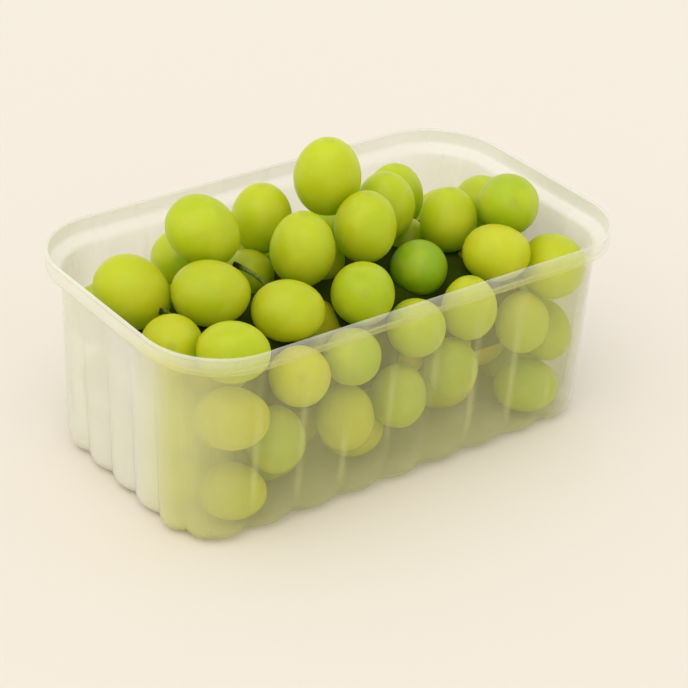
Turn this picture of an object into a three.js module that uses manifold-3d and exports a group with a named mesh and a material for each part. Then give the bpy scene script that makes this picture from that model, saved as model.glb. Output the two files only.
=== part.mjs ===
// A clear ribbed tray of green grapes, heaped above its rim.
// Millimetres, Z up, X along the tray, the tray standing on z = 0 with its middle at the origin.

import * as THREE from "three";
import { mergeVertices } from "three/addons/utils/BufferGeometryUtils.js";
import Module from "manifold-3d";

const wasm = await Module();
wasm.setup();

// ---- driving sizes of the tray ----------------------------------------------------------------

const TRAY_LENGTH = 160;
const TRAY_WIDTH = 93;
const TRAY_HEIGHT = 64;
const CORNER = 23.5; // radius of the rim's corners
const WALL = 0.7;
const BAND_HEIGHT = 5.5; // smooth upright band round the rim
const LEDGE_RISE = 1.2; // slope of the ledge under the band
const TOP_INSET = 4.3; // how far the wall stands in under the band
const BASE_INSET = 5.7; // and at the base, for the taper
const FOOT_RADIUS = 5.5; // rounding between wall and floor
const FOOT_STEPS = 3;

const LONG_RIB_PITCH = 15.5;
const LONG_RIBS = 7;
const SHORT_RIB_PITCH = 12.5;
const SHORT_RIBS = 5;
const STEPS_PER_RIB = 4;
const CORNER_STEPS = 3; // on the plain stretch of each corner
const BASE_NOTCH = 2.2; // depth of the grooves between ribs at the base
const TOP_NOTCH = 0.4; // and under the band

// ---- driving sizes of the grapes --------------------------------------------------------------

const GRAPE_HALF_WIDTH = 8.9;
const GRAPE_HALF_LENGTH = 10.6;
const CLEARANCE = 0.4; // between grapes and tray

const UPRIGHT = [0, 0, 1];
const ALONG = [4, -3, 0];
const SLOPING = [4, -3, -4];
const FACING = [-2, -3, 2];

// Grapes that lie in plain sight: centre x, y, z, size factor, and the way the long axis points.
const SHOWN_GRAPES = [
  [7, 13, 74, 1.13, UPRIGHT],
  [-12, 20, 63, 1.02, UPRIGHT],
  [-39, 11, 70, 1.08, SLOPING],
  [-36, 27, 53, 0.96, FACING],
  [-64, 8, 58, 1.12, SLOPING],
  [-48, -3, 59, 1.07, ALONG],
  [-66, -14, 52, 1.0, FACING],
  [-56, -28, 55, 0.97, ALONG],
  [-29, -18, 55, 1.0, ALONG],
  [-13, -2, 63, 1.07, UPRIGHT],
  [-5, -21, 55, 1.04, FACING],
  [8, -3, 66, 1.04, UPRIGHT],
  [25, 8, 62, 1.02, UPRIGHT],
  [42, 25, 54, 1.02, UPRIGHT],
  [41, -2, 58, 0.97, UPRIGHT],
  [63, 7, 54, 0.99, FACING],
  [58, -9, 62, 1.05, FACING],
  [45, -23, 55, 0.97, ALONG],
  [61, -29, 49, 1.12, FACING],
  [22, -13, 52, 0.95, FACING],
  [34, 8, 48, 0.8, UPRIGHT],
  [-22, 12, 50, 0.9, FACING],
  [28, -30, 45, 0.93, UPRIGHT],
  [8, -32, 44.5, 0.96, FACING],
  [-15, -31, 42, 0.93, FACING],
  [-33, -32, 41, 0.98, FACING],
  [-55, -30, 34, 1.0, ALONG],
  [-41, -30, 23, 0.95, UPRIGHT],
  [-54, -31, 9, 0.92, ALONG],
  [-16, -31, 22, 0.95, UPRIGHT],
  [3, -31, 23, 0.93, UPRIGHT],
  [22, -31, 27, 0.9, UPRIGHT],
  [50, -30, 34, 0.92, UPRIGHT],
  [55, -30, 9, 0.95, ALONG],
];

// The other grapes start from layers of rows and columns, each a little off its place.
const LAYER_HEIGHTS = [10, 27, 43, 53];
const COLUMNS = 7;
const COLUMN_STEP = 20.5;
const ROWS = 4;
const ROW_STEP = 19.5;
const STAGGER = 0.25; // of a column step, one way and the other in turn
const SCATTER = 5; // how far off a grape may start, in all
const SPACING = 14; // a grape nearer than this to another is left out
const SMALLEST = 0.93;
const SIZE_SPREAD = 0.12;
const SEED = 31;

// They settle by turns of sinking and pushing apart.
const SETTLING_ROUNDS = 160;
const SINK = 0.15;
const SHOWN_PULL = 0.2; // how fast a shown grape is drawn back to its place
const SHOWN_GIVE = 0.12; // and how little it yields to a loose one
const HEAP_EDGE_TOP = 56; // loose grapes stay under the shown ones
const HEAP_MIDDLE_TOP = 63;
const POCKET_FROM = 2; // an empty pocket at the foot of the front wall, from here
const POCKET_TO = 42; // to here along X,
const POCKET_BACK = -13; // back to here
const POCKET_TOP = 22; // and up to here

const CORE_INSET = 16.5; // from the rim's outline in to the solid core
const CORE_BOTTOM = 4;
const CORE_TOP = 42;
const MOUND_INSET = 27; // a smaller step on top of the core
const MOUND_TOP = 50;
const STALK_RADIUS = 1.2;
const STALK_SIDES = 5;
const RAISED = 48; // grapes higher than this stand on stalks and have more sides

// Twigs that show between the grapes, from one end to the other, the first deep in the heap.
const TWIGS = [
  [[-20, -4, 40], [-24, -1, 53], [-30, 8, 58]],
  [[-50, 4, 40], [-56, 0, 52], [-61, -1, 56]],
];

// ---- tray -------------------------------------------------------------------------------------

// The tray's outline is the edge of an inner rectangle swept outward by a radius. A station on it
// has the rectangle's point, the way out, and how much of the groove depth it takes.
function outlineStations() {
  const insideX = TRAY_LENGTH / 2 - CORNER;
  const insideY = TRAY_WIDTH / 2 - CORNER;
  const wallRadius = CORNER - (TOP_INSET + BASE_INSET) / 2;
  const arc = (wallRadius * Math.PI) / 2;
  const quarter = insideX + arc + insideY;
  const longEnd = (LONG_RIBS / 2) * LONG_RIB_PITCH;
  const shortEnd = quarter - (SHORT_RIBS / 2) * SHORT_RIB_PITCH;
  const plainStart = longEnd + LONG_RIB_PITCH / 2;
  const plainEnd = shortEnd - SHORT_RIB_PITCH / 2;

  const groove = (s) => {
    if (s > plainStart && s < plainEnd) return 0;
    const pitches = s <= plainStart ? s / LONG_RIB_PITCH : (quarter - s) / SHORT_RIB_PITCH;
    return 1 - Math.abs(Math.cos(Math.PI * pitches));
  };
  const station = (s) => {
    const turn = Math.min(Math.max((s - insideX) / arc, 0), 1) * (Math.PI / 2);
    return {
      x: Math.min(s, insideX),
      y: Math.min(quarter - s, insideY),
      outX: Math.sin(turn),
      outY: Math.cos(turn),
      groove: groove(s),
    };
  };

  const stops = [];
  const addStops = (from, to, count) => {
    for (let i = 0; i < count; i++) stops.push(from + ((to - from) * i) / count);
  };
  addStops(0, plainStart, ((LONG_RIBS + 1) / 2) * STEPS_PER_RIB);
  addStops(plainStart, plainEnd, CORNER_STEPS);
  addStops(plainEnd, quarter, ((SHORT_RIBS + 1) / 2) * STEPS_PER_RIB);

  // Round half the tray, from the middle of the front by the right side to the middle of the back.
  const frontRight = stops.map(station).map((p) => ({ ...p, y: -p.y, outY: -p.outY }));
  const backRight = [...stops.slice(1), quarter].reverse().map(station);
  const half = [...frontRight, ...backRight];
  return [...half, ...half.map((p) => ({ ...p, x: -p.x, y: -p.y, outX: -p.outX, outY: -p.outY }))];
}

// Section of the tray's wall: how far in from the rim's outline, how high, and the groove depth.
function traySection() {
  const ledgeTop = TRAY_HEIGHT - BAND_HEIGHT;
  const wallTop = ledgeTop - LEDGE_RISE;
  const foot = (inset, bottom, radius) => {
    const turns = Array.from({ length: FOOT_STEPS + 1 }, (_, i) => (i / FOOT_STEPS) * (Math.PI / 2));
    return turns.map((turn) => [
      inset + radius * (1 - Math.sin(turn)),
      bottom + radius * (1 - Math.cos(turn)),
      BASE_NOTCH,
    ]);
  };
  const outside = [
    ...foot(BASE_INSET, 0, FOOT_RADIUS),
    [TOP_INSET, wallTop, TOP_NOTCH],
    [0, ledgeTop, 0],
    [0, TRAY_HEIGHT, 0],
  ];
  const inside = [
    [WALL, TRAY_HEIGHT, 0],
    [WALL, ledgeTop + WALL, 0],
    [TOP_INSET + WALL, wallTop + WALL, TOP_NOTCH],
    ...foot(BASE_INSET + WALL, WALL, FOOT_RADIUS - WALL).reverse(),
  ];
  return [...outside, ...inside].map(([inset, z, notch]) => ({ inset, z, notch }));
}

// A lathe turns the section round the axis, and each of its vertices is then moved from the circle
// to the same turn of the tray's outline.
function trayGeometry() {
  const stations = outlineStations();
  const section = traySection();
  const profile = [
    new THREE.Vector2(0, 0),
    ...section.map((p) => new THREE.Vector2(CORNER - p.inset, p.z)),
    new THREE.Vector2(0, WALL),
  ];
  const lathe = new THREE.LatheGeometry(profile, stations.length);
  const position = lathe.getAttribute("position");
  for (let i = 0; i < position.count; i++) {
    const place = i % profile.length;
    const s = stations[Math.floor(i / profile.length) % stations.length];
    const onAxis = place === 0 || place === profile.length - 1;
    if (onAxis) {
      position.setXYZ(i, 0, 0, profile[place].y);
      continue;
    }
    const p = section[place - 1];
    const radius = CORNER - p.inset - p.notch * s.groove;
    position.setXYZ(i, s.x + s.outX * radius, s.y + s.outY * radius, p.z);
  }
  return bare(lathe);
}

// ---- places of the grapes ---------------------------------------------------------------------

function evenDraws(seed) {
  let state = seed;
  return () => {
    state = (state * 16807) % 2147483647;
    return state / 2147483647;
  };
}

function unit([x, y, z]) {
  const size = Math.sqrt(x * x + y * y + z * z);
  return [x / size, y / size, z / size];
}

function makeGrape(place, size, lean, shown) {
  return {
    at: [...place],
    home: [...place],
    lean: unit(lean),
    halfWidth: GRAPE_HALF_WIDTH * size,
    halfLength: GRAPE_HALF_LENGTH * size,
    give: shown ? SHOWN_GIVE : 1,
    shown,
  };
}

// How far a grape reaches from its centre in the direction n.
function reach(grape, n) {
  const [a, b] = [grape.halfLength, grape.halfWidth];
  const along = n[0] * grape.lean[0] + n[1] * grape.lean[1] + n[2] * grape.lean[2];
  return Math.sqrt(b * b + (a * a - b * b) * along * along);
}

// Room inside the tray at its grooves, as a radius round the corner centres.
function insideRadius(z) {
  const up = Math.min(z, TRAY_HEIGHT - BAND_HEIGHT) / (TRAY_HEIGHT - BAND_HEIGHT);
  const inset = BASE_INSET + (TOP_INSET - BASE_INSET) * up;
  const notch = BASE_NOTCH + (TOP_NOTCH - BASE_NOTCH) * up;
  return CORNER - inset - notch - WALL - CLEARANCE;
}

function heapTop(x, y) {
  const along = x / (TRAY_LENGTH / 2);
  const across = y / (TRAY_WIDTH / 2);
  const swell = (1 - along * along) * (1 - across * across);
  return HEAP_EDGE_TOP + (HEAP_MIDDLE_TOP - HEAP_EDGE_TOP) * swell;
}

function keepInside(grape) {
  const [x, y, z] = grape.at;
  const insideX = TRAY_LENGTH / 2 - CORNER;
  const insideY = TRAY_WIDTH / 2 - CORNER;
  const overX = Math.max(Math.abs(x) - insideX, 0);
  const overY = Math.max(Math.abs(y) - insideY, 0);
  const over = Math.sqrt(overX * overX + overY * overY);
  if (over > 0) {
    const sideX = x > 0 ? 1 : -1;
    const sideY = y > 0 ? 1 : -1;
    const n = [(overX / over) * sideX, (overY / over) * sideY, 0];
    const limit = insideRadius(z) - reach(grape, n);
    if (over > limit && overX > 0) grape.at[0] = insideX * sideX + n[0] * limit;
    if (over > limit && overY > 0) grape.at[1] = insideY * sideY + n[1] * limit;
  }
  const tall = reach(grape, UPRIGHT);
  grape.at[2] = Math.max(grape.at[2], WALL + CLEARANCE + tall);
  if (!grape.shown) {
    grape.at[2] = Math.min(grape.at[2], heapTop(x, y) - tall);
    if (x > POCKET_FROM && x < POCKET_TO && y < POCKET_BACK && z < POCKET_TOP) {
      grape.at[1] = POCKET_BACK;
    }
  }
}

function pushApart(a, b) {
  const d = [b.at[0] - a.at[0], b.at[1] - a.at[1], b.at[2] - a.at[2]];
  const far = Math.sqrt(d[0] * d[0] + d[1] * d[1] + d[2] * d[2]);
  if (far > 2.5 * GRAPE_HALF_LENGTH) return;
  const n = [d[0] / far, d[1] / far, d[2] / far];
  const overlap = reach(a, n) + reach(b, n) - far;
  if (overlap <= 0) return;
  const share = a.give / (a.give + b.give);
  for (let k = 0; k < 3; k++) {
    a.at[k] -= n[k] * overlap * share;
    b.at[k] += n[k] * overlap * (1 - share);
  }
}

function looseGrapes(shown) {
  const draw = evenDraws(SEED);
  const grapes = [];
  const crowded = (place) => [...shown, ...grapes].some((grape) => {
    const [dx, dy, dz] = [place[0] - grape.at[0], place[1] - grape.at[1], place[2] - grape.at[2]];
    return dx * dx + dy * dy + dz * dz < SPACING * SPACING;
  });
  for (const [layer, height] of LAYER_HEIGHTS.entries()) {
    for (let row = 0; row < ROWS; row++) {
      for (let column = 0; column < COLUMNS; column++) {
        const stagger = (row + layer) % 2 ? STAGGER : -STAGGER;
        const place = [
          (column - (COLUMNS - 1) / 2 + stagger) * COLUMN_STEP + SCATTER * (draw() - 0.5),
          (row - (ROWS - 1) / 2) * ROW_STEP + SCATTER * (draw() - 0.5),
          height + SCATTER * (draw() - 0.5),
        ];
        const size = SMALLEST + SIZE_SPREAD * draw();
        const lean = [draw() - 0.5, draw() - 0.5, draw() - 0.5];
        if (!crowded(place)) grapes.push(makeGrape(place, size, lean, false));
      }
    }
  }
  return grapes;
}

function settledGrapes() {
  const shown = SHOWN_GRAPES.map(([x, y, z, size, lean]) => makeGrape([x, y, z], size, lean, true));
  const grapes = [...shown, ...looseGrapes(shown)];
  for (let round = 0; round < SETTLING_ROUNDS; round++) {
    for (const grape of grapes) {
      if (grape.shown) {
        for (let k = 0; k < 3; k++) grape.at[k] += SHOWN_PULL * (grape.home[k] - grape.at[k]);
      } else {
        grape.at[2] -= SINK;
      }
    }
    for (let i = 0; i < grapes.length; i++) {
      for (let j = i + 1; j < grapes.length; j++) pushApart(grapes[i], grapes[j]);
    }
    grapes.forEach(keepInside);
  }
  return grapes;
}

// ---- the heap as one solid --------------------------------------------------------------------

function grapeGeometry(grape) {
  const detail = grape.shown && grape.at[2] > RAISED ? 2 : 1;
  const turn = new THREE.Quaternion().setFromUnitVectors(
    new THREE.Vector3(0, 0, 1),
    new THREE.Vector3(...grape.lean),
  );
  return new THREE.IcosahedronGeometry(1, detail)
    .scale(grape.halfWidth, grape.halfWidth, grape.halfLength)
    .applyQuaternion(turn)
    .translate(...grape.at);
}

function rodGeometry(from, to) {
  const start = new THREE.Vector3(...from);
  const end = new THREE.Vector3(...to);
  const way = end.clone().sub(start);
  const turn = new THREE.Quaternion().setFromUnitVectors(
    new THREE.Vector3(0, 1, 0),
    way.clone().normalize(),
  );
  const middle = start.add(end).multiplyScalar(0.5);
  return new THREE.CylinderGeometry(STALK_RADIUS, STALK_RADIUS, way.length(), STALK_SIDES)
    .applyQuaternion(turn)
    .translate(middle.x, middle.y, middle.z);
}

function stalkGeometry({ at: [x, y, z] }) {
  return rodGeometry([x, y, z], [0.75 * x, 0.7 * y, CORE_TOP - 3]);
}

function stepGeometry(inset, bottom, top) {
  const halfX = TRAY_LENGTH / 2 - inset;
  const halfY = TRAY_WIDTH / 2 - inset;
  const radius = Math.max(CORNER - inset, 4);
  const outline = new THREE.Shape();
  outline.absarc(halfX - radius, halfY - radius, radius, 0, Math.PI / 2);
  outline.absarc(radius - halfX, halfY - radius, radius, Math.PI / 2, Math.PI);
  outline.absarc(radius - halfX, radius - halfY, radius, Math.PI, 1.5 * Math.PI);
  outline.absarc(halfX - radius, radius - halfY, radius, 1.5 * Math.PI, 2 * Math.PI);
  const settings = { depth: top - bottom, bevelEnabled: false, curveSegments: 3 };
  return new THREE.ExtrudeGeometry(outline, settings).translate(0, 0, bottom);
}

function insideCore(grape) {
  const [x, y, z] = grape.at;
  const r = grape.halfLength;
  const inX = Math.abs(x) + r < TRAY_LENGTH / 2 - CORE_INSET;
  const inY = Math.abs(y) + r < TRAY_WIDTH / 2 - CORE_INSET;
  return inX && inY && z + r < CORE_TOP;
}

function heapGeometry() {
  const grapes = settledGrapes().filter((grape) => !insideCore(grape));
  const raised = grapes.filter((grape) => grape.shown && grape.at[2] > RAISED);
  const twigs = TWIGS.flatMap(([foot, bend, tip]) => [rodGeometry(foot, bend), rodGeometry(bend, tip)]);
  const pieces = [
    stepGeometry(MOUND_INSET, CORE_TOP - 1, MOUND_TOP),
    ...grapes.map(grapeGeometry),
    ...raised.map(stalkGeometry),
    ...twigs,
  ];
  return pieces.reduce(
    (heap, piece) => heap.add(solid(piece)),
    solid(stepGeometry(CORE_INSET, CORE_BOTTOM, CORE_TOP)),
  );
}

// ---- geometry and solids ----------------------------------------------------------------------

function bare(geometry) {
  geometry.deleteAttribute("normal");
  geometry.deleteAttribute("uv");
  return mergeVertices(geometry, 1e-4);
}

function solid(geometry) {
  const closed = bare(geometry);
  return new wasm.Manifold(new wasm.Mesh({
    numProp: 3,
    vertProperties: new Float32Array(closed.getAttribute("position").array),
    triVerts: new Uint32Array(closed.getIndex().array),
  }));
}

function geometryOf(manifold) {
  const mesh = manifold.getMesh();
  const geometry = new THREE.BufferGeometry();
  geometry.setAttribute("position", new THREE.BufferAttribute(mesh.vertProperties, 3));
  geometry.setIndex(new THREE.BufferAttribute(mesh.triVerts, 1));
  geometry.computeVertexNormals();
  return geometry;
}

// ---- the scene graph --------------------------------------------------------------------------

const clearPlastic = new THREE.MeshStandardMaterial({
  color: 0xeaebdc, roughness: 0.2, metalness: 0, transparent: true, opacity: 0.5,
});
const grapeSkin = new THREE.MeshStandardMaterial({ color: 0xb4c832, roughness: 0.35, metalness: 0 });

const tray = new THREE.Mesh(trayGeometry(), clearPlastic);
tray.name = "tray";

const grapes = new THREE.Mesh(geometryOf(heapGeometry()), grapeSkin);
grapes.name = "grapes";

const punnet = new THREE.Group();
punnet.add(tray, grapes);

export default punnet;
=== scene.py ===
"""A clear ribbed tray of green grapes, heaped above its rim, on a pale floor in soft light."""

from math import atan2, cos, pi, radians, sin, sqrt

import bmesh
import bpy
from mathutils import Matrix, Vector, noise


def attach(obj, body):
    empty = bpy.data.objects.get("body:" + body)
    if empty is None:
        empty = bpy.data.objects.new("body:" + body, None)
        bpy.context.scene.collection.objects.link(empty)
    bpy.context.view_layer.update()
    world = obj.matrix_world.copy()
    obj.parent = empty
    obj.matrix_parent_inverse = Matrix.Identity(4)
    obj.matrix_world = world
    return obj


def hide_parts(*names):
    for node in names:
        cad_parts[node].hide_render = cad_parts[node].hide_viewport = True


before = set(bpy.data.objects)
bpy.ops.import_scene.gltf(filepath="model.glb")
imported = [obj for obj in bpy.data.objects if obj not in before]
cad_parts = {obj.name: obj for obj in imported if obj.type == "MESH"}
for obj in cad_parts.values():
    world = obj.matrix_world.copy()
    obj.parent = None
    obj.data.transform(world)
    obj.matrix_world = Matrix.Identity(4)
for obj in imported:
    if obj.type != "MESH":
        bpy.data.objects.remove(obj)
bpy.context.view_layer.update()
MM = 0.001

# ---- sizes of the tray, in mm -----------------------------------------------------------------

LENGTH, WIDTH, HEIGHT = 160, 93, 64
CORNER = 23.5               # radius of the rim's corners
WALL = 0.7
BAND_HEIGHT = 5.5           # smooth upright band round the rim
LEDGE_RISE = 1.2            # slope of the ledge under the band
TOP_INSET, BASE_INSET = 4.3, 5.7
FOOT_RADIUS = 5.5
LIP_RADIUS = 0.55           # bead along the top edge
LONG_RIB_PITCH, LONG_RIBS = 15.5, 7
SHORT_RIB_PITCH, SHORT_RIBS = 12.5, 5
BASE_NOTCH, TOP_NOTCH = 2.2, 0.4
STEPS_PER_RIB = 14
CORNER_STEPS = 8
INSIDE_X, INSIDE_Y = LENGTH/2 - CORNER, WIDTH/2 - CORNER
# Along the outline from the middle of a long side, the wall turns milky from the first value to
# the second, and the painted green light of the grapes behind it fades out between the second pair.
MILKY_LEFT, MILKY_RIGHT = (54, 90), (60, 84)
MILKY_RIGHT_SHARE = 0.5     # how milky the right end is, against the left
PAINTED_GREEN_LEFT, PAINTED_GREEN_RIGHT = (80, 98), (56, 66)

# ---- sizes and places of the grapes, in mm ----------------------------------------------------

GRAPE_HALF_WIDTH, GRAPE_HALF_LENGTH = 8.9, 10.6
GRAPE_LUMPS, GRAPE_TAPER, GRAPE_DENT = 0.018, 0.035, 0.008
GRAPE_SUBDIVISIONS = 4
CLEARANCE = 0.4
UPRIGHT, ALONG, SLOPING, FACING = (0, 0, 1), (4, -3, 0), (4, -3, -4), (-2, -3, 2)
# How ripe a grape looks, in five judged steps.
GREEN, FRESH, MIDDLE, RIPE, YELLOW = 0.05, 0.4, 0.55, 0.65, 0.8

# Grapes that lie in plain sight: centre, size factor, the way the long axis points, ripeness.
SHOWN_GRAPES = [
    ((7, 13, 74), 1.13, UPRIGHT, RIPE),
    ((-12, 20, 63), 1.02, UPRIGHT, RIPE),
    ((-39, 11, 70), 1.08, SLOPING, MIDDLE),
    ((-36, 27, 53), 0.96, FACING, MIDDLE),
    ((-64, 8, 58), 1.12, SLOPING, RIPE),
    ((-48, -3, 59), 1.07, ALONG, MIDDLE),
    ((-66, -14, 52), 1.0, FACING, RIPE),
    ((-56, -28, 55), 0.97, ALONG, MIDDLE),
    ((-29, -18, 55), 1.0, ALONG, MIDDLE),
    ((-13, -2, 63), 1.07, UPRIGHT, MIDDLE),
    ((-5, -21, 55), 1.04, FACING, FRESH),
    ((8, -3, 66), 1.04, UPRIGHT, MIDDLE),
    ((25, 8, 62), 1.02, UPRIGHT, MIDDLE),
    ((42, 25, 54), 1.02, UPRIGHT, MIDDLE),
    ((41, -2, 58), 0.97, UPRIGHT, MIDDLE),
    ((63, 7, 54), 0.99, FACING, MIDDLE),
    ((58, -9, 62), 1.05, FACING, FRESH),
    ((45, -23, 55), 0.97, ALONG, RIPE),
    ((61, -29, 49), 1.12, FACING, RIPE),
    ((22, -13, 52), 0.95, FACING, GREEN),
    ((34, 8, 48), 0.8, UPRIGHT, FRESH),
    ((-22, 12, 50), 0.9, FACING, FRESH),
    ((28, -30, 45), 0.93, UPRIGHT, MIDDLE),
    ((8, -32, 44.5), 0.96, FACING, MIDDLE),
    ((-15, -31, 42), 0.93, FACING, FRESH),
    ((-33, -32, 41), 0.98, FACING, YELLOW),
    ((-55, -30, 34), 1.0, ALONG, YELLOW),
    ((-41, -30, 23), 0.95, UPRIGHT, FRESH),
    ((-54, -31, 9), 0.92, ALONG, RIPE),
    ((-16, -31, 22), 0.95, UPRIGHT, RIPE),
    ((3, -31, 23), 0.93, UPRIGHT, FRESH),
    ((22, -31, 27), 0.9, UPRIGHT, FRESH),
    ((50, -30, 34), 0.92, UPRIGHT, MIDDLE),
    ((55, -30, 9), 0.95, ALONG, FRESH),
]

# The other grapes start in layers of rows and columns and then settle.
LAYER_HEIGHTS = (10, 27, 43, 53)
COLUMNS, COLUMN_STEP = 7, 20.5
ROWS, ROW_STEP = 4, 19.5
STAGGER = 0.25              # of a column step, one way and the other in turn
SCATTER = 5                 # how far off a loose grape may start, in all
SPACING = 14                # one nearer than this to another is left out
SMALLEST, SIZE_SPREAD = 0.93, 0.12
SEED = 31
SETTLING_ROUNDS = 160
SINK = 0.15
SHOWN_PULL, SHOWN_GIVE = 0.2, 0.12
HEAP_EDGE_TOP, HEAP_MIDDLE_TOP = 56, 63
POCKET_X, POCKET_BACK, POCKET_TOP = (2, 42), -13, 22

# The dark core's two steps, a lump of painted shade for the grapes deep in the heap: inset from the tray's
# outline, lowest and highest point.
CORE_STEPS = ((22, 22, 40), (27, 36, 49))
CORE_ROUNDING = 5
STALK_RADIUS = 0.65
STALK_STEPS = 12
# Twigs that show between the grapes, from the end deep in the heap.
TWIGS = [
    ((-20, -4, 40), (-24, -1, 53), (-30, 8, 58)),
    ((-50, 4, 40), (-56, 0, 52), (-61, -1, 56)),
]

# ---- the photo's camera -----------------------------------------------------------------------

CAMERA_TURN, CAMERA_RISE, CAMERA_ROLL = -38.34, 30.19, 3.45   # degrees
CAMERA_PLACE = (-364.31, -468.06, 371.67)                      # mm
LENS, SENSOR = 119.9, 36
FLOOR_HALF_SIZE = 4         # m
FLOOR_GAP = 0.0002          # m under the tray


# ---- shader nodes -----------------------------------------------------------------------------

class Socket:
    """A shader value: arithmetic on it adds Math nodes."""

    def __init__(self, shader, socket):
        self.shader, self.socket = shader, socket

    def math(self, operation, *values):
        return self.shader.node("ShaderNodeMath", {"operation": operation}, dict(enumerate(values)))

    def __add__(self, other):
        return self.math("ADD", self, other)

    def __sub__(self, other):
        return self.math("SUBTRACT", self, other)

    def __rsub__(self, other):
        return self.math("SUBTRACT", other, self)

    def __mul__(self, other):
        return self.math("MULTIPLY", self, other)

    __radd__, __rmul__ = __add__, __mul__

    def power(self, exponent):
        return self.math("POWER", self, exponent)

    def ramp(self, low, high, to_low=0.0, to_high=1.0):
        """Eased from to_low at low to to_high at high."""
        return self.shader.node(
            "ShaderNodeMapRange", {"interpolation_type": "SMOOTHSTEP"},
            {"Value": self, "From Min": low, "From Max": high, "To Min": to_low, "To Max": to_high})


class Shader:
    """One material, built node by node."""

    def __init__(self, name):
        self.material = bpy.data.materials.new(name)
        self.material.use_nodes = True
        self.tree = self.material.node_tree
        self.tree.nodes.clear()

    def node(self, kind, settings=None, inputs=None, output=0):
        """Adds a node, with its settings first, then the values or links of its sockets."""
        made = self.tree.nodes.new(kind)
        for key, value in (settings or {}).items():
            setattr(made, key, value)
        for key, value in (inputs or {}).items():
            socket = made.inputs[key]
            if isinstance(value, Socket):
                self.tree.links.new(value.socket, socket)
            elif socket.type == "RGBA":
                socket.default_value = (*value, 1)
            else:
                socket.default_value = value
        return Socket(self, made.outputs[output]) if made.outputs else None

    def mix(self, share, first, second):
        """One colour or the other, by share."""
        return self.node("ShaderNodeMix", {"data_type": "RGBA"}, {0: share, 6: first, 7: second}, 2)

    def place(self):
        return self.node("ShaderNodeTexCoord", output="Object")

    def axis(self, index):
        return self.node("ShaderNodeSeparateXYZ", {}, {0: self.place()}, index)

    def stretched(self, *scale):
        return self.node("ShaderNodeMapping", {}, {"Vector": self.place(), "Scale": scale})

    def attribute(self, name):
        return self.node("ShaderNodeAttribute", {"attribute_name": name}, {}, "Fac")

    def noise(self, scale, detail=2.0, where=None):
        return self.node("ShaderNodeTexNoise", {},
                         {"Vector": where or self.place(), "Scale": scale, "Detail": detail}, "Fac")

    def bump(self, height, strength, distance):
        return self.node("ShaderNodeBump", {},
                         {"Height": height, "Strength": strength, "Distance": distance}, "Normal")

    def principled(self, **inputs):
        named = {key.replace("_", " "): value for key, value in inputs.items()}
        return self.node("ShaderNodeBsdfPrincipled", {}, named)

    def finish(self, surface):
        self.node("ShaderNodeOutputMaterial", {}, {"Surface": surface})
        return self.material


def grape_skin():
    """Yellow-green skin, paler and yellower on some grapes, with a thin matt bloom."""
    s = Shader("grape_skin")
    tone = s.attribute("tone")
    along = s.attribute("along")
    patches = s.noise(90, 2)
    cloud = s.noise(220, 3)
    green = s.mix(tone, (0.22, 0.352, 0.004), (0.68, 0.61, 0.012))
    warm = s.mix(patches.ramp(0.45, 0.7) * 0.25, green, (0.68, 0.66, 0.04))
    bloomed = s.mix(cloud.ramp(0.45, 0.8) * 0.06, warm, (0.76, 0.79, 0.32))
    scar = along.ramp(0.975, 0.992)
    colour = s.mix(scar * 0.25, bloomed, (0.35, 0.30, 0.05))
    return s.finish(s.principled(
        Base_Color=colour,
        Roughness=cloud.ramp(0.3, 0.8, 0.34, 0.46),
        Subsurface_Weight=1.0,
        Subsurface_Radius=(0.4, 1.0, 0.15),
        Subsurface_Scale=0.03,
        Specular_IOR_Level=0.3,
        Normal=s.bump(cloud, 0.12, 0.0004)))


def stalk_skin():
    s = Shader("stalk_skin")
    fibres = s.noise(900, 3)
    green = s.mix(fibres.ramp(0.3, 0.7), (0.13, 0.17, 0.02), (0.24, 0.30, 0.05))
    colour = s.mix(s.attribute("along").ramp(0.86, 0.95), green, (0.03, 0.035, 0.006))
    return s.finish(s.principled(
        Base_Color=colour,
        Roughness=0.75,
        Specular_IOR_Level=0.15,
        Normal=s.bump(fibres, 0.4, 0.0003)))


def heap_shade():
    s = Shader("heap_shade")
    # painted shade: dark greens, mottled by noise, for the shaded grapes seen in the gaps
    colour = s.mix(s.noise(120), (0.025, 0.04, 0.0), (0.05, 0.075, 0.003))
    return s.finish(s.principled(Base_Color=colour, Roughness=0.9, Specular_IOR_Level=0.1))


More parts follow.
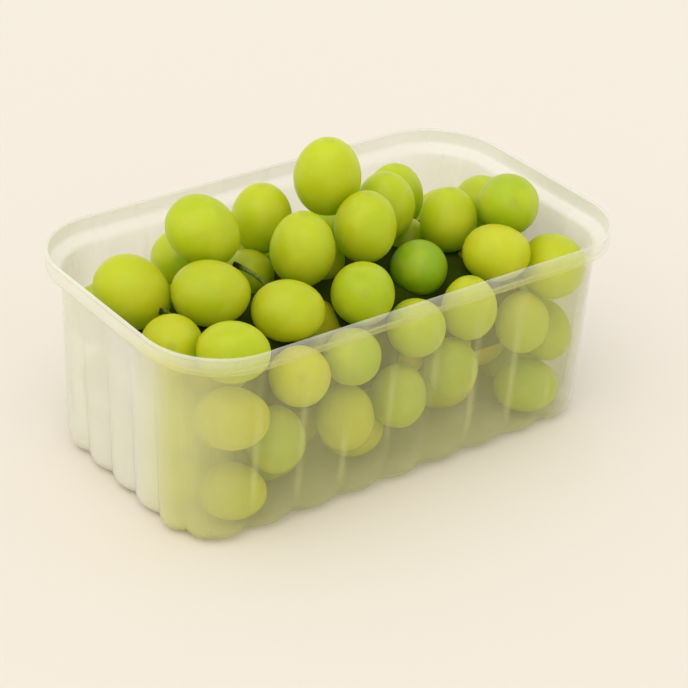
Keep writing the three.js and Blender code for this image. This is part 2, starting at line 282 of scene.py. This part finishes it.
def milky_plastic():
    """Thin clear plastic: milky at the ends and the rim, with painted glints on the grooves, a painted
    highlight on the lip, painted green light from the grapes and a painted paler back-right half.
    """
    s = Shader("milky_plastic")
    height = s.axis(2)
    ends = s.attribute("milky")
    band = height.ramp(0.0575, 0.0592)
    lip = height.ramp(0.0628, 0.0634)
    groove = s.attribute("groove")
    flow = s.noise(45, 3)
    # painted glints: pale vertical streaks along the grooves, laid in as extra milkiness
    painted_glints = s.noise(1, 2, s.stretched(160, 160, 22))
    haze = 0.13 + ends * 0.52 + flow.ramp(0.35, 0.75) * 0.05
    # the lip's extra milkiness is a painted highlight along the rim's top edge; the band's is its own
    # milkiness
    haze = haze + (1 - ends) * (band * 0.05 + lip * 0.04)
    # painted glints on the grooves: strongest low on the wall, fading out towards the ledge
    painted_glint_fade = height.ramp(0.002, 0.012) * height.ramp(0.02, 0.056, 1.0, 0.3)
    haze = haze + (1 - ends) * groove.ramp(0.6, 1.0) * painted_glints.ramp(0.35, 0.6) * painted_glint_fade * 0.16
    facing = s.node("ShaderNodeLayerWeight", {}, {"Blend": 0.5}, "Facing")
    share = haze + (1 - haze) * facing.power(4) * 0.3
    # painted green light: the grapes' green, bounced through the plastic, painted into its colour on the
    # front half and fading out at the top
    painted_green = s.attribute("painted_grape_light") * height.ramp(0.0585, 0.0635, 1.0, 0.15)
    cream = s.mix(flow, (0.94, 0.92, 0.74), (0.97, 0.96, 0.83))
    # painted light: the back-right half of the tray is painted a paler cream, lifting its shade
    far = (s.axis(0) + s.axis(1)).ramp(-0.03, 0.03)
    cream = s.mix(far, cream, (0.97, 0.955, 0.86))
    body = s.principled(
        Base_Color=s.mix(painted_green * 0.9, cream, (0.83, 0.82, 0.30)),
        Roughness=flow.ramp(0.3, 0.8, 0.14, 0.24),
        IOR=1.6,
        Normal=s.bump(flow, 0.1, 0.0006))
    clear = s.node("ShaderNodeBsdfTransparent", {}, {"Color": (0.985, 0.985, 0.97)})
    return s.finish(s.node("ShaderNodeMixShader", {}, {0: share, 1: clear, 2: body}))


def floor_paper():
    s = Shader("floor_paper")
    return s.finish(s.principled(Base_Color=(0.87, 0.8, 0.69), Roughness=0.95, Specular_IOR_Level=0.0))


# ---- making pieces ----------------------------------------------------------------------------

def piece(name, bm, material, replaced):
    """An object made of a bmesh given in mm, riding on the body."""
    bmesh.ops.scale(bm, vec=(MM, MM, MM), verts=bm.verts)
    for face in bm.faces:
        face.smooth = True
    mesh = bpy.data.meshes.new(name)
    bm.to_mesh(mesh)
    bm.free()
    made = bpy.data.objects.new(name, mesh)
    bpy.context.scene.collection.objects.link(made)
    made.data.materials.append(material)
    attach(made, "root")
    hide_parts(replaced)
    return made


# ---- tray -------------------------------------------------------------------------------------

def outline_stations():
    """Points round the outline: an inner rectangle's point, the way out, groove, milkiness, painted green
    light.
    """
    arc = (CORNER - (TOP_INSET + BASE_INSET)/2)*pi/2
    quarter = INSIDE_X + arc + INSIDE_Y
    plain_start = (LONG_RIBS + 1)/2*LONG_RIB_PITCH
    plain_end = quarter - (SHORT_RIBS + 1)/2*SHORT_RIB_PITCH

    def station(s):
        turn = min(max((s - INSIDE_X)/arc, 0), 1)*pi/2
        if plain_start < s < plain_end:
            groove = 0
        else:
            pitches = s/LONG_RIB_PITCH if s <= plain_start else (quarter - s)/SHORT_RIB_PITCH
            groove = 1 - abs(cos(pi*pitches))
        looks = [min(max((s - low)/(high - low), 0), 1)
                 for low, high in (MILKY_LEFT, MILKY_RIGHT, PAINTED_GREEN_LEFT, PAINTED_GREEN_RIGHT)]
        return (min(s, INSIDE_X), min(quarter - s, INSIDE_Y), sin(turn), cos(turn), groove, *looks)

    stretches = (
        (0, plain_start, (LONG_RIBS + 1)//2*STEPS_PER_RIB),
        (plain_start, plain_end, CORNER_STEPS),
        (plain_end, quarter, (SHORT_RIBS + 1)//2*STEPS_PER_RIB),
    )
    stops = [low + (high - low)*i/count for low, high, count in stretches for i in range(count)]
    front = [station(s) for s in stops]
    back = [station(s) for s in reversed(stops[1:] + [quarter])]
    half = [(x, -y, out_x, -out_y, *rest) for x, y, out_x, out_y, *rest in front] + back
    whole = half + [(-x, -y, -out_x, -out_y, *rest) for x, y, out_x, out_y, *rest in half]
    # the last value is the painted green light, on the front half only
    return [(x, y, out_x, out_y, groove,
             left if x < 0 else right*MILKY_RIGHT_SHARE,
             (1 - (bare_left if x < 0 else bare_right))*(y < 0))
            for x, y, out_x, out_y, groove, left, right, bare_left, bare_right in whole]


def arc_points(centre, radius, start, end, count):
    """Points of an arc in the section, by angles in degrees."""
    return [(centre[0] + radius*cos(radians(start + (end - start)*i/count)),
             centre[1] + radius*sin(radians(start + (end - start)*i/count))) for i in range(count + 1)]


def tray_section():
    """The wall's section as radius and height: up the outside, over the rim, down the inside."""
    ledge_top = HEIGHT - BAND_HEIGHT
    wall_top = ledge_top - LEDGE_RISE
    wall_steps = (0.08, 0.2, 0.35, 0.5, 0.65, 0.8, 0.92)

    def wall(inset):
        return [(CORNER - BASE_INSET - inset + (BASE_INSET - TOP_INSET)*t,
                 FOOT_RADIUS + (wall_top - 1.5 - FOOT_RADIUS)*t) for t in wall_steps]

    def ledge(inset, lift):
        edge = CORNER - inset
        return [(edge - TOP_INSET, wall_top - 1.3 + lift), (edge - TOP_INSET + 0.25, wall_top - 0.5 + lift),
                (edge - TOP_INSET + 0.9, wall_top + lift), (edge - 0.9, ledge_top - 0.3 + lift),
                (edge - 0.35, ledge_top + lift), (edge - 0.15, ledge_top + 0.6 + lift)]

    foot = (CORNER - BASE_INSET - FOOT_RADIUS, FOOT_RADIUS)
    lip = (CORNER - LIP_RADIUS, HEIGHT - LIP_RADIUS)
    outside = arc_points(foot, FOOT_RADIUS, -90, 0, 7) + wall(0) + ledge(0, 0)
    outside += [(CORNER - 0.2, HEIGHT - 3), (CORNER - 0.25, HEIGHT - 1.4)]
    over = arc_points(lip, LIP_RADIUS, -60, 220, 12)
    inside = [(CORNER - WALL - 0.25, HEIGHT - 1.4), (CORNER - WALL - 0.2, HEIGHT - 3)]
    inside += ledge(WALL, WALL)[::-1] + wall(WALL)[::-1] + arc_points(foot, FOOT_RADIUS - WALL, 0, -90, 7)
    return outside + over + inside


def notch_depth(z):
    """How deep the grooves are at a height: they run out under the ledge."""
    wall_top = HEIGHT - BAND_HEIGHT - LEDGE_RISE
    up = max(z - FOOT_RADIUS, 0)/(wall_top - FOOT_RADIUS)
    return max(BASE_NOTCH + (TOP_NOTCH - BASE_NOTCH)*up, 0)*min(max((wall_top - z)/4, 0), 1)


def tray():
    """The section is spun round, and each vertex then goes to the same turn of the outline."""
    stations = outline_stations()
    section = [(0, 0)] + tray_section() + [(0, WALL)]
    bm = bmesh.new()
    verts = [bm.verts.new((r, 0, z)) for r, z in section]
    edges = [bm.edges.new(pair) for pair in zip(verts, verts[1:])]
    bmesh.ops.spin(bm, geom=verts + edges, axis=(0, 0, 1), cent=(0, 0, 0), angle=2*pi,
                   steps=len(stations), use_merge=True)
    bmesh.ops.remove_doubles(bm, verts=bm.verts, dist=1e-4)
    groove_layer = bm.verts.layers.float.new("groove")
    milky_layer = bm.verts.layers.float.new("milky")
    painted_grape_light_layer = bm.verts.layers.float.new("painted_grape_light")
    for v in bm.verts:
        radius = sqrt(v.co.x**2 + v.co.y**2)
        if radius < 1e-3:
            continue
        turn = round(atan2(v.co.y, v.co.x)/(2*pi)*len(stations)) % len(stations)
        x, y, out_x, out_y, groove, milky, painted_grape_light = stations[turn]
        notch = notch_depth(v.co.z)
        v[groove_layer], v[milky_layer], v[painted_grape_light_layer] = groove, milky, painted_grape_light
        reach = radius - notch*groove
        v.co = (x + out_x*reach, y + out_y*reach, v.co.z)
    bmesh.ops.recalc_face_normals(bm, faces=bm.faces)
    return piece("tray_shell", bm, milky_plastic(), "tray")


# ---- places of the grapes ---------------------------------------------------------------------

def even_draws(seed):
    """Even draws from 0 to 1, the same on every run."""
    state = seed
    while True:
        state = state*16807 % 2147483647
        yield state/2147483647


class Grape:
    def __init__(self, place, size, lean, ripeness=None):
        self.at, self.home = list(place), place
        length = sqrt(lean[0]*lean[0] + lean[1]*lean[1] + lean[2]*lean[2])
        self.lean = [part/length for part in lean]
        self.half_width, self.half_length = GRAPE_HALF_WIDTH*size, GRAPE_HALF_LENGTH*size
        self.shown, self.ripeness = ripeness is not None, ripeness
        self.give = SHOWN_GIVE if self.shown else 1

    def reach(self, n):
        """How far it reaches from its centre in the direction n."""
        a, b, e = self.half_length, self.half_width, self.lean
        along = n[0]*e[0] + n[1]*e[1] + n[2]*e[2]
        return sqrt(b*b + (a*a - b*b)*along*along)

    def keep_inside(self):
        """Moves it back between the tray's walls, off its floor and under the top of the heap."""
        x, y, z = self.at
        over_x, over_y = max(abs(x) - INSIDE_X, 0), max(abs(y) - INSIDE_Y, 0)
        over = sqrt(over_x*over_x + over_y*over_y)
        if over > 0:
            side_x, side_y = (1 if x > 0 else -1), (1 if y > 0 else -1)
            n = (over_x/over*side_x, over_y/over*side_y, 0)
            limit = inside_radius(z) - self.reach(n)
            if over > limit and over_x > 0:
                self.at[0] = INSIDE_X*side_x + n[0]*limit
            if over > limit and over_y > 0:
                self.at[1] = INSIDE_Y*side_y + n[1]*limit
        tall = self.reach(UPRIGHT)
        self.at[2] = max(self.at[2], WALL + CLEARANCE + tall)
        if not self.shown:
            self.at[2] = min(self.at[2], heap_top(x, y) - tall)
            if POCKET_X[0] < x < POCKET_X[1] and y < POCKET_BACK and z < POCKET_TOP:
                self.at[1] = POCKET_BACK


def inside_radius(z):
    """Room inside the tray at its grooves, as a radius round the corner centres."""
    up = min(z, HEIGHT - BAND_HEIGHT)/(HEIGHT - BAND_HEIGHT)
    inset = BASE_INSET + (TOP_INSET - BASE_INSET)*up
    notch = BASE_NOTCH + (TOP_NOTCH - BASE_NOTCH)*up
    return CORNER - inset - notch - WALL - CLEARANCE


def heap_top(x, y):
    """How high loose grapes may lie at a place: lower at the tray's walls."""
    along, across = x/(LENGTH/2), y/(WIDTH/2)
    return HEAP_EDGE_TOP + (HEAP_MIDDLE_TOP - HEAP_EDGE_TOP)*((1 - along*along)*(1 - across*across))


def push_apart(a, b):
    """Moves two grapes that overlap until they touch."""
    dx, dy, dz = b.at[0] - a.at[0], b.at[1] - a.at[1], b.at[2] - a.at[2]
    far = sqrt(dx*dx + dy*dy + dz*dz)
    if far > 2.5*GRAPE_HALF_LENGTH:
        return
    n = (dx/far, dy/far, dz/far)
    overlap = a.reach(n) + b.reach(n) - far
    if overlap <= 0:
        return
    share = a.give/(a.give + b.give)
    for k in range(3):
        a.at[k] -= n[k]*overlap*share
        b.at[k] += n[k]*overlap*(1 - share)


def loose_grapes(shown):
    """Layers of rows and columns, each grape a little off its place, where there is room."""
    draw = even_draws(SEED)
    grapes = []
    for layer, height in enumerate(LAYER_HEIGHTS):
        for row in range(ROWS):
            for column in range(COLUMNS):
                stagger = STAGGER if (row + layer) % 2 else -STAGGER
                place = ((column - (COLUMNS - 1)/2 + stagger)*COLUMN_STEP + SCATTER*(next(draw) - 0.5),
                         (row - (ROWS - 1)/2)*ROW_STEP + SCATTER*(next(draw) - 0.5),
                         height + SCATTER*(next(draw) - 0.5))
                size = SMALLEST + SIZE_SPREAD*next(draw)
                lean = [next(draw) - 0.5 for _ in range(3)]
                gaps = [[p - q for p, q in zip(place, grape.at)] for grape in shown + grapes]
                if all(dx*dx + dy*dy + dz*dz >= SPACING*SPACING for dx, dy, dz in gaps):
                    grapes.append(Grape(place, size, lean))
    return grapes


def settled_grapes():
    """All the grapes, after turns of sinking and pushing apart."""
    shown = [Grape(*row) for row in SHOWN_GRAPES]
    grapes = shown + loose_grapes(shown)
    for _ in range(SETTLING_ROUNDS):
        for grape in grapes:
            if grape.shown:
                for k in range(3):
                    grape.at[k] += SHOWN_PULL*(grape.home[k] - grape.at[k])
            else:
                grape.at[2] -= SINK
        for i, grape in enumerate(grapes):
            for other in grapes[i + 1:]:
                push_apart(grape, other)
        for grape in grapes:
            grape.keep_inside()
    return grapes


# ---- grapes -----------------------------------------------------------------------------------

def grape_heap(grapes):
    """Every grape as one mesh, each a little egg-shaped, with its own tone."""
    bm = bmesh.new()
    tone_layer = bm.verts.layers.float.new("tone")
    along_layer = bm.verts.layers.float.new("along")
    draw = even_draws(SEED + 1)
    for grape in grapes:
        verts = bmesh.ops.create_icosphere(bm, subdivisions=GRAPE_SUBDIVISIONS, radius=1)["verts"]
        turn = Vector(UPRIGHT).rotation_difference(Vector(grape.lean)).to_matrix().to_4x4()
        tone = grape.ripeness if grape.shown else 0.3 + 0.4*next(draw)
        offset = Vector((next(draw), next(draw), next(draw)))*40
        for v in verts:
            v[tone_layer] = tone
            v[along_layer] = v.co.z
            lump = 1 + GRAPE_LUMPS*noise.noise(v.co*1.3 + offset)
            taper = 1 - GRAPE_TAPER*v.co.z
            dent = GRAPE_DENT*max(0, (abs(v.co.z) - 0.93)/0.07)**2
            v.co.x *= grape.half_width*lump*taper
            v.co.y *= grape.half_width*lump*taper
            v.co.z *= grape.half_length*(lump - dent)
        bmesh.ops.transform(bm, matrix=Matrix.Translation(grape.at) @ turn, verts=verts)
    return piece("grape_heap", bm, grape_skin(), "grapes")


def rod(bm, points, radii, sides=10):
    """A round rod through points: a ring at each, which keeps how far along it is."""
    along_layer = bm.verts.layers.float["along"]
    rings = []
    for i, (point, radius) in enumerate(zip(points, radii)):
        before, after = points[max(i - 1, 0)], points[min(i + 1, len(points) - 1)]
        ahead = (after - before).normalized()
        turn = Vector(UPRIGHT).rotation_difference(ahead).to_matrix().to_4x4()
        ring = bmesh.ops.create_circle(bm, cap_ends=i in (0, len(points) - 1), segments=sides,
                                       radius=radius, matrix=Matrix.Translation(point) @ turn)
        for v in ring["verts"]:
            v[along_layer] = i/(len(points) - 1)
        rings.append({e for v in ring["verts"] for e in v.link_edges})
    for low, high in zip(rings, rings[1:]):
        bmesh.ops.bridge_loops(bm, edges=list(low | high))


def curve_points(stops, count):
    """Points on a smooth bend through three stops."""
    foot, bend, tip = (Vector(stop) for stop in stops)
    middle = bend*2 - (foot + tip)/2
    return [foot*(1 - t)**2 + middle*2*t*(1 - t) + tip*t*t for t in (i/count for i in range(count + 1))]


def stalks():
    """Twigs that show between the grapes, thicker at their dark knotted ends."""
    bm = bmesh.new()
    bm.verts.layers.float.new("along")
    for stops in TWIGS:
        points = curve_points(stops, STALK_STEPS)
        radii = [STALK_RADIUS*(1 + 0.6*max(0, (i/STALK_STEPS - 0.8)/0.2)**2)
                 for i in range(STALK_STEPS + 1)]
        rod(bm, points, radii)
    bmesh.ops.recalc_face_normals(bm, faces=bm.faces)
    return piece("twigs", bm, stalk_skin(), "grapes")


def painted_shade_core():
    """A dark lump in two steps deep among the grapes, which stops the light between them; its dark green is
    painted shade, standing for grapes in deep shade.
    """
    bm = bmesh.new()
    for inset, low, high in CORE_STEPS:
        made = bmesh.ops.create_cube(bm, size=1)
        size = (LENGTH - 2*inset, WIDTH - 2*inset, high - low)
        bmesh.ops.scale(bm, vec=size, verts=made["verts"])
        bmesh.ops.translate(bm, vec=(0, 0, (low + high)/2), verts=made["verts"])
        edges = list({edge for v in made["verts"] for edge in v.link_edges})
        bmesh.ops.bevel(bm, geom=edges, offset=CORE_ROUNDING, affect="EDGES", segments=4,
                         profile=0.5, material=-1)
    return piece("painted_shade_core", bm, heap_shade(), "grapes")


# ---- the set ----------------------------------------------------------------------------------

def camera():
    turn, rise, roll = radians(CAMERA_TURN), radians(CAMERA_RISE), radians(CAMERA_ROLL)
    back = Vector((sin(turn)*cos(rise), -cos(turn)*cos(rise), sin(rise)))
    right = Vector((cos(turn), sin(turn), 0))
    up = back.cross(right)
    level = (right*cos(roll) + up*sin(roll), up*cos(roll) - right*sin(roll), back)
    data = bpy.data.cameras.new("camera")
    data.lens, data.sensor_width = LENS, SENSOR
    data.clip_start, data.clip_end = 0.01, 20
    made = bpy.data.objects.new("camera", data)
    made.matrix_world = Matrix.Translation(Vector(CAMERA_PLACE)*MM) @ Matrix(level).transposed().to_4x4()
    bpy.context.scene.collection.objects.link(made)
    bpy.context.scene.camera = made


def floor():
    bm = bmesh.new()
    bmesh.ops.create_grid(bm, x_segments=1, y_segments=1, size=FLOOR_HALF_SIZE)
    mesh = bpy.data.meshes.new("floor")
    bm.to_mesh(mesh)
    bm.free()
    made = bpy.data.objects.new("floor", mesh)
    made.data.materials.append(floor_paper())
    bpy.context.scene.collection.objects.link(made)
    made.location.z = -FLOOR_GAP


def lights():
    world = bpy.data.worlds.new("soft_room")
    world.use_nodes = True
    background = world.node_tree.nodes["Background"]
    background.inputs["Color"].default_value = (0.985, 1, 1.05, 1)
    background.inputs["Strength"].default_value = 0.77
    bpy.context.scene.world = world
    sun("side_light", (-0.8, -0.1, 0.95), 0.6, 70, (1, 0.97, 0.88))
    sun("top_light", (-0.3, -0.25, 1), 0.45, 40, (1, 0.95, 0.85))
    sun("front_fill", (-0.6, -0.8, 0.1), 0.2, 90, (1, 1, 1))
    sun("right_fill", (0.9, -0.3, 0.3), 0.2, 90, (1, 0.98, 0.9))


def sun(name, away, energy, angle, colour):
    """A soft sun that shines from the direction away."""
    data = bpy.data.lights.new(name, "SUN")
    data.energy, data.angle, data.color = energy, radians(angle), colour
    made = bpy.data.objects.new(name, data)
    made.rotation_euler = Vector(away).to_track_quat("Z", "Y").to_euler()
    bpy.context.scene.collection.objects.link(made)


bpy.context.scene.view_settings.view_transform = "Standard"
camera()
floor()
lights()
tray()
grape_heap(settled_grapes())
stalks()
painted_shade_core()
